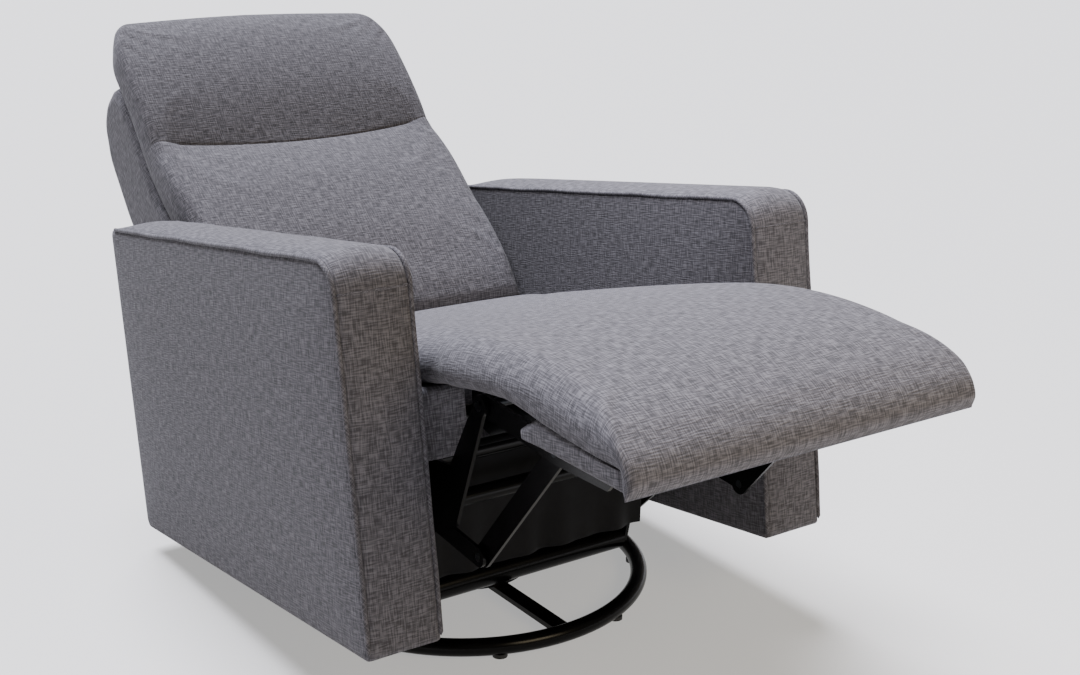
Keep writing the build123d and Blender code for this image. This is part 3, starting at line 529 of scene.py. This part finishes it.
STRETCHER_V, STRETCHER_H, STRETCHER_WRAP = 0.150, 0.186, 0.0135
FLAP_HALF, FLAP_DROP = 0.192, 0.186
flap_turn = np.linspace(radians(150), 0, 16)
flap_fall = np.linspace(0, FLAP_DROP, 31)[1:]
flap_v = np.concatenate((STRETCHER_V + STRETCHER_WRAP * np.cos(flap_turn),
                         STRETCHER_V + STRETCHER_WRAP + flap_fall * np.tan(TILT)))
flap_h = np.concatenate((STRETCHER_H + STRETCHER_WRAP * np.sin(flap_turn), STRETCHER_H - flap_fall))
flap_low = np.concatenate((np.zeros(16), flap_fall / FLAP_DROP))[:, None]
flap_x = np.linspace(-FLAP_HALF, FLAP_HALF, 129)
folds = 0.0045 * np.sin(flap_x * 2 * pi / 0.086 + 0.7) + 0.0025 * np.sin(flap_x * 2 * pi / 0.053)
flap_back = flap_v[:, None] + 0.007 * flap_low ** 1.5 + folds * flap_low
flap_points = body_place(flap_x, flap_back, flap_h[:, None])
# This black sheet is painted shade for the dark space under the seat.
flap = sewn_mesh("painted_shade_flap", [(flap_points, cloth_map(flap_points))])
flap.data.materials.clear()
flap.data.materials.append(painted_shade_sheet())
flap.modifiers.new("thickness", "SOLIDIFY").thickness = 0.0005
flap.modifiers["thickness"].offset = 0.0
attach(flap, "chassis")


# Corner blocks under the front of the seat: timber blocks padded with wadding and wrapped in the cloth.
# They fill the step between each arm and the mechanism and are bolted to the seat rails.
BLOCK_WIDTH = 0.078
block_outline = rounded_outline(
    ((0.022, 0.221), (0.022, 0.3158), (0.106, 0.3052), (0.106, 0.221)),
    radii=(0.010, 0.010, 0.006, 0.006), step=0.003,
)
for side, label in ((-1, "left"), (1, "right")):
    block = sewn_mesh(f"seat_block_wrap_{label}", covered_box(
        body_place, block_outline, side * (ARM_INNER_X - BLOCK_WIDTH / 2), BLOCK_WIDTH / 2,
        edge=0.003, bulge=0.0, crown=np.full(len(block_outline[0]), 0.001),
    ))
    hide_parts(f"seat_block_{label}")
    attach(block, "chassis")


# Long seat pad: one foam slab in a fitted cover that runs from the back over the hinge to the footrest.
# It is glued to the seat straps and the footrest board, and its front lip is pulled down over the board.
# The top is crowned and its sides roll under.
def smooth_line(points, run):
    """A cubic curve through given points; its slope at each is that of the line past its two neighbours.

    Returns the curve at the given distances along the points, for all columns at once.
    """
    points = np.asarray(points, float)
    knots = run_length(points[:, :2])
    slopes = np.gradient(points, knots, axis=0)
    part = np.clip(np.searchsorted(knots, run, side="right") - 1, 0, len(knots) - 2)
    width = (knots[part + 1] - knots[part])[:, None]
    t = (run[:, None] - knots[part][:, None]) / width
    return (
        (2 * t ** 3 - 3 * t ** 2 + 1) * points[part] + (t ** 3 - 2 * t ** 2 + t) * width * slopes[part]
        + (3 * t ** 2 - 2 * t ** 3) * points[part + 1] + (t ** 3 - t ** 2) * width * slopes[part + 1]
    )


def boxed_cushion(place, front, rear, half_width, front_roll, rear_roll, columns, swell, shape):
    """Sheets of a stuffed cover: a front, a rear and two side walls between their rims.

    A roll is (across, deep): over the distance across from the side, the sheet turns down to its rim as a
    quarter ellipse, sqrt(1 - (1 - q) ** 2). The walls swell by 4 * k * (1 - k) between the rims. shape moves
    a sheet: it takes the grids across and section, and whether the sheet is the front one.
    """
    thick = np.linalg.norm(rear - front, axis=1)
    across = columns * half_width[:, None]
    inset = half_width[:, None] - np.abs(across)
    sheets, rims = [], []
    for line, far, (wide, deep), limit in ((front, rear, front_roll, 0.64), (rear, front, rear_roll, 0.36)):
        rim = line + (far - line) * np.minimum(deep / np.maximum(thick, 1e-6), limit)[:, None]
        q = np.clip(inset / np.broadcast_to(wide, thick.shape)[:, None], 0, 1)
        share = np.sqrt(1 - (1 - q) ** 2)
        section = rim[:, None] + (line - rim)[:, None] * share[..., None]
        section = shape(across, section, line is front)
        sheets.append(place(across, section[..., 0], section[..., 1]))
        rims.append(section[:, [0, -1]])
    k = np.linspace(0, 1, 9)
    for end, side in ((0, -1), (1, 1)):
        wall = rims[0][:, end, None] * (1 - k)[:, None] + rims[1][:, end, None] * k[:, None]
        tall = np.linalg.norm(rims[0][:, end] - rims[1][:, end], axis=1)
        x = side * (half_width[:, None] + swell * 4 * k * (1 - k) * np.clip(tall / 0.05, 0, 1)[:, None])
        sheets.append(place(x, wall[..., 0], wall[..., 1]))
    return [(points, cloth_map(points)) for points in sheets]


pad_top = np.array((
    (598, 262), (594, 275), (577, 297), (420, 330), (255, 353), (100, 373), (-11, 386), (-111, 390),
    (-180, 386), (-229, 379), (-299, 362), (-345, 343), (-378, 316), (-399, 288), (-402, 271), (-391, 254),
)) / 1000
pad_under = np.array((
    (598, 262), (594, 252), (583, 245.5), (420, 266), (255, 287), (100, 306.6), (-11, 320.7), (-111, 325),
    (-180, 322), (-232, 316), (-299, 302), (-345, 293), (-386, 286), (-387, 274), (-387.5, 262), (-391, 254),
)) / 1000
pad_knots = run_length(pad_top)
pad_run = np.concatenate((np.linspace(0, 0.05, 12)[:-1], np.linspace(0.05, pad_knots[-1] - 0.14, 110)[:-1],
                          np.linspace(pad_knots[-1] - 0.14, pad_knots[-1], 36)))
pad_lines = smooth_line(np.concatenate((pad_top, pad_under), axis=1), pad_run)
top_line, under_line = pad_lines[:, :2], pad_lines[:, 2:]
pad_v = top_line[:, 0]
lip = np.clip((-0.30 - pad_v) / 0.08, 0, 1)
under_roll = 0.004 + 0.022 * np.clip((pad_v + 0.24) / 0.08, 0, 1)
# It is 529 mm wide on the footrest, 509 mm where it passes the arm fronts and 537 mm between the arms.
passing = 1 / (1 + np.exp(-(pad_v + 0.020) / 0.006))
between = 1 / (1 + np.exp(-(pad_v - 0.085) / 0.012))
pad_half = 0.2645 - 0.010 * passing + 0.014 * between
side_steps = 1 - 0.2 * (1 - np.sin(np.linspace(0, pi / 2, 22)))
half_steps = np.concatenate((np.linspace(0, 0.8, 32)[:-1], side_steps))
pad_columns = np.concatenate((-half_steps[:0:-1], half_steps))


def pad_crown(across, section, is_front):
    """Both sheets fall up to 4 mm from the middle to the sides, less towards the lip and the underside."""
    fall = 0.004 * (1 - lip)[:, None] * (across / pad_half[:, None]) ** 2
    lifted = np.clip((section[..., 1] - under_line[:, None, 1]) / 0.05, 0, 1)
    section[..., 1] -= fall * lifted
    return section


def fill_out(piece, held, pressure, most):
    """Lets the filling press a sewn cover out: Blender's cloth with an inner pressure, over 20 frames.

    held is 1 at the points that are sewn down or glued and falls to 0 away from them. Each point then moves
    along the way the cloth took it, by (1 - held) * most * tanh(length / most), so none goes past most.
    """
    scene = bpy.context.scene
    before = np.empty(len(piece.data.vertices) * 3, np.float32)
    piece.data.vertices.foreach_get("co", before)
    before = before.reshape(-1, 3)
    hold = held(before)
    piece.vertex_groups.new(name="held").add(np.flatnonzero(hold > 0.99).tolist(), 1.0, "REPLACE")
    cloth = piece.modifiers.new("cover", "CLOTH")
    cloth.settings.quality = 4
    cloth.settings.tension_stiffness = cloth.settings.compression_stiffness = 40
    cloth.settings.shear_stiffness = 20
    cloth.settings.bending_stiffness = 2
    cloth.settings.use_pressure = True
    cloth.settings.uniform_pressure_force = pressure
    cloth.settings.effector_weights.gravity = 0
    cloth.settings.vertex_group_mass = "held"
    for step in range(1, 21):
        scene.frame_set(step)
    after = np.empty_like(before.ravel())
    filled = piece.evaluated_get(bpy.context.evaluated_depsgraph_get()).data
    filled.vertices.foreach_get("co", after)
    move = after.reshape(-1, 3) - before
    length = np.linalg.norm(move, axis=1, keepdims=True)
    move *= (1 - hold)[:, None] * most * np.tanh(length / most) / np.maximum(length, 1e-9)
    piece.modifiers.remove(cloth)
    piece.vertex_groups.clear()
    scene.frame_set(1)
    piece.data.vertices.foreach_set("co", (before + move).ravel())
    piece.data.update()


def pad_held(points):
    """1 on the glued underside and at the rear end, falling smoothly to 0 from 10 to 52 mm above the glue."""
    y, z = points[:, 1] - BODY_FRONT_Y, points[:, 2] - BODY_BOTTOM_Z
    v, h = y * cos(TILT) - z * sin(TILT), y * sin(TILT) + z * cos(TILT)
    order = np.argsort(under_line[:, 0])
    floor_h = np.interp(v, under_line[order, 0], under_line[order, 1])
    free = np.clip((h - floor_h - 0.010) / 0.042, 0, 1) * np.clip((0.59 - v) / 0.05, 0, 1)
    return 1 - free ** 2 * (3 - 2 * free)


pad = sewn_mesh("long_seat_pad", boxed_cushion(
    body_place, top_line, under_line, pad_half,
    front_roll=(0.042 - 0.033 * lip, 0.060 - 0.050 * lip), rear_roll=(under_roll, under_roll),
    columns=pad_columns, swell=0.002, shape=pad_crown,
))
fill_out(pad, pad_held, pressure=1.0, most=0.008)
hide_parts("seat_pad", "footrest_pad")
HINGE_V, HINGE_H = -0.060, 0.300
tuple(body_place(0.0, HINGE_V + 0.045, HINGE_H))
tuple(body_place(0.0, HINGE_V - 0.050, HINGE_H))
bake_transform(pad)


# Footrest board under the front half of the pad: plywood in wadding and the same cloth.
# Its rear edge is bevelled and it is screwed to the two swing arms.
WRAP_HALF = 0.2615
wrap_outline = rounded_outline(
    ((-0.192, 0.301), (-0.232, 0.3186), (-0.388, 0.2877), (-0.388, 0.2574), (-0.192, 0.287)),
    radii=(0.004, 0.008, 0.004, 0.006, 0.005), step=0.003,
)
wrap = sewn_mesh("footrest_board_wrap", covered_box(
    body_place, wrap_outline, 0.0, WRAP_HALF, edge=0.003, bulge=0.0015, crown=np.zeros(len(wrap_outline[0])),
))
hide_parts("footrest_wrap")
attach(wrap, "footrest")


# Outside back: a padded shell of the same cloth over the back frame, with flat sides and a rounded top.
# It is pulled round from behind and its front edge is tucked in behind the inside back.
BACK_ANGLE = TILT + radians(44.03)
CREASE = body_place(0.0, 0.577, 0.310)


def back_place(x, d, s):
    """Points of the backrest in metres: d behind its front line, s up along it from the seat crease."""
    y = CREASE[1] + d * cos(BACK_ANGLE) + s * sin(BACK_ANGLE)
    z = CREASE[2] - d * sin(BACK_ANGLE) + s * cos(BACK_ANGLE)
    return np.stack(np.broadcast_arrays(x, y, z), axis=-1)


BACK_HALF = 0.271
shell_outline = rounded_outline(
    ((0.054, 0.010), (0.057, 0.380), (0.041, 0.474), (0.027, 0.560), (0.045, 0.610), (0.095, 0.625),
     (0.137, 0.616), (0.181, 0.562), (0.210, 0.430), (0.200, 0.008)),
    radii=(0.010, 0.10, 0.10, 0.05, 0.02, 0.06, 0.05, 0.08, 0.20, 0.016), step=0.006,
)
shell = sewn_mesh("outside_back_soft", covered_box(
    back_place, shell_outline, 0.0, BACK_HALF, edge=0.006, bulge=0.001,
    crown=np.full(len(shell_outline[0]), 0.004),
))
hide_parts("back_shell")
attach(shell, "backrest")


# Inside back: foam headrest and lumbar cushions in one cover, drawn in by a seam across the middle.
# The seam stops short of the sides, so the cover runs smoothly round them to the outside back.
# The lumbar roll swells over the seam and the headrest rounds over the top.
inside_front = np.array((
    (14, 13), (3, 24), (-4, 42), (-15, 82), (-21.5, 135), (-22, 240), (-17, 340), (-12, 380), (-8, 404),
    (-9, 425), (-16.5, 465), (-24.5, 518), (-29.5, 570), (-31.5, 622), (-30.5, 657), (-26, 682), (-16, 695),
    (0, 701), (12, 701),
)) / 1000
inside_rear = np.array((
    (14, 13), (28, 27), (40, 48), (57, 82), (57, 140), (58, 250), (58, 340), (58, 380), (57, 404), (54, 425),
    (46, 465), (36, 520), (30, 570), (27, 612), (28, 640), (29, 668), (28, 684), (23, 695), (12, 701),
)) / 1000
inside_knots = run_length(inside_front)
SEAM_RISE = 0.406
seam_run = np.interp(SEAM_RISE, inside_front[:, 1], inside_knots)
inside_run = np.concatenate((
    np.linspace(0, 0.06, 14)[:-1], np.linspace(0.06, seam_run - 0.03, 78)[:-1],
    np.linspace(seam_run - 0.03, seam_run + 0.03, 45)[:-1],
    np.linspace(seam_run + 0.03, inside_knots[-1] - 0.10, 36)[:-1],
    np.linspace(inside_knots[-1] - 0.10, inside_knots[-1], 32),
))
inside_lines = smooth_line(np.concatenate((inside_front, inside_rear), axis=1), inside_run)
front_line, rear_line = inside_lines[:, :2], inside_lines[:, 2:]
INSIDE_HALF, CORNER_WIDTH, CORNER_RISE, WAIST = 0.269, 0.046, 0.098, 0.005
INSIDE_TOP = front_line[-1, 1]
over = np.clip((front_line[:, 1] - (INSIDE_TOP - CORNER_RISE)) / CORNER_RISE, 0, 1)
waist = np.clip((0.36 - front_line[:, 1]) / 0.16, 0, 1)
inside_half = INSIDE_HALF - CORNER_WIDTH * (1 - np.sqrt(1 - over ** 2)) - WAIST * waist ** 2 * (3 - 2 * waist)


def seam_and_crown(across, section, is_front):
    """Draws the seam in between headrest and lumbar cushion, and crowns the top of the headrest.

    The seam sags towards the middle. Both sides turn in to it by 9 mm * exp(-distance / width), with a width
    of 24 mm above and 12 mm below, and a stitched groove takes 2 mm more. It fades past 230 mm from the
    middle. The top rises 15 mm in the middle.
    """
    seam_line = SEAM_RISE + 0.020 * (across / 0.25) ** 2
    fade = 1 / (1 + np.exp((np.abs(across) - 0.230) / 0.006))
    above = section[..., 1] - seam_line
    turn_in = 0.009 * np.exp(-np.abs(above) / np.where(above > 0, 0.024, 0.012))
    section[..., 0] += (turn_in + 0.002 * np.exp(-np.abs(above) / 0.002)) * (0.25 + 0.75 * fade) * is_front
    rise = np.clip((section[..., 1] - 0.54) / 0.15, 0, 1) ** 2
    section[..., 1] += 0.015 * rise * (1 - (across / INSIDE_HALF) ** 2)
    return section


def back_held(points):
    """1 where the inside back is held: on its seam, at its rear and, fading over 80 mm, at its foot."""
    x, y, z = points[:, 0], points[:, 1] - CREASE[1], points[:, 2] - CREASE[2]
    d, s = y * cos(BACK_ANGLE) - z * sin(BACK_ANGLE), y * sin(BACK_ANGLE) + z * cos(BACK_ANGLE)
    on_seam = (np.abs(s - SEAM_RISE - 0.020 * (x / 0.25) ** 2) < 0.0025) & (np.abs(x) < 0.226)
    behind_it = d > np.interp(s, rear_line[:, 1], rear_line[:, 0]) - 0.010
    foot = np.clip((0.11 - s) / 0.08, 0, 1)
    return np.maximum(on_seam | behind_it, foot ** 2 * (3 - 2 * foot))


inside = sewn_mesh("inside_back_cushions", boxed_cushion(
    back_place, front_line, rear_line, inside_half, front_roll=(0.018, 0.018), rear_roll=(0.012, 0.012),
    columns=pad_columns, swell=0.001, shape=seam_and_crown,
))
fill_out(inside, back_held, pressure=1.0, most=0.008)
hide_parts("lumbar_cushion", "headrest_cushion")
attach(inside, "backrest")


# Studio: a pale floor that runs out of sight, soft boxes above and in front, and the camera.
# The camera stands left of the chair, 1.04 m up, with a 50 mm lens on a 36 mm sensor.
floor_mesh = bpy.data.meshes.new("studio_floor")
floor_mesh.from_pydata([(-20, -20, 0), (20, -20, 0), (20, 20, 0), (-20, 20, 0)], [], [(0, 1, 2, 3)])
floor = bpy.data.objects.new("studio_floor", floor_mesh)
bpy.context.scene.collection.objects.link(floor)
floor_material, tree = start_material("pale studio floor")
sweep = add(tree, "ShaderNodeBsdfPrincipled", {
    "Base Color": linear("#9f9d9b"), "Roughness": 0.9,
    "Emission Color": linear("#ffffff"), "Emission Strength": 0.45,
})
add(tree, "ShaderNodeOutputMaterial", {"Surface": sweep.outputs["BSDF"]})
floor_mesh.materials.append(floor_material)

world = bpy.data.worlds.new("studio")
world.use_nodes = True
world.node_tree.nodes.clear()
bpy.context.scene.world = world
tree = world.node_tree
wall = add(tree, "ShaderNodeBackground", {"Color": linear("#ffffff"), "Strength": 2.03})
air = add(tree, "ShaderNodeBackground", {"Color": linear("#fff4e8"), "Strength": 0.20})
seen = add(tree, "ShaderNodeLightPath").outputs["Is Camera Ray"]
sky = add(tree, "ShaderNodeMixShader", {
    0: seen, 1: air.outputs["Background"], 2: wall.outputs["Background"],
})
add(tree, "ShaderNodeOutputWorld", {"Surface": sky.outputs["Shader"]})

sun = bpy.data.lights.new("ceiling_light", "SUN")
sun.angle = radians(34)
sun.energy = 16.5
sun.color = linear("#f0f3ff")[:3]
ceiling = bpy.data.objects.new("ceiling_light", sun)
ceiling.rotation_euler = Vector((0.01, -0.50, -1.0)).to_track_quat("-Z", "Y").to_euler()
bpy.context.scene.collection.objects.link(ceiling)

for name, kind, power, colour, place, aim in (
    ("front_softbox", "AREA", 24.0, "#ffecc6", (0.3, -2.0, 1.2), (0.0, -0.4, 0.4)),
    ("arm_spot", "SPOT", 90.0, "#f4f5ff", (-0.36, -0.70, 1.45), (0.29, -0.05, 0.50)),
):
    lamp = bpy.data.lights.new(name, kind)
    lamp.energy = power
    lamp.color = linear(colour)[:3]
    if kind == "AREA":
        lamp.size = 0.9
    else:
        lamp.spot_size, lamp.spot_blend, lamp.shadow_soft_size = radians(42), 1.0, 0.20
    softbox = bpy.data.objects.new(name, lamp)
    softbox.location = place
    softbox.rotation_euler = (Vector(aim) - Vector(place)).to_track_quat("-Z", "Y").to_euler()
    softbox.visible_camera = False
    bpy.context.scene.collection.objects.link(softbox)

CAMERA_PLACE = Vector((-1.1385, -1.8894, 1.0403))
CAMERA_AIM = Vector((0.5403, 0.7923, -0.2834))
lens = bpy.data.cameras.new("camera")
lens.sensor_width = 36.0
lens.lens = 50.08
camera = bpy.data.objects.new("camera", lens)
camera.location = CAMERA_PLACE
camera.rotation_euler = CAMERA_AIM.to_track_quat("-Z", "Y").to_euler()
bpy.context.scene.collection.objects.link(camera)
bpy.context.scene.camera = camera
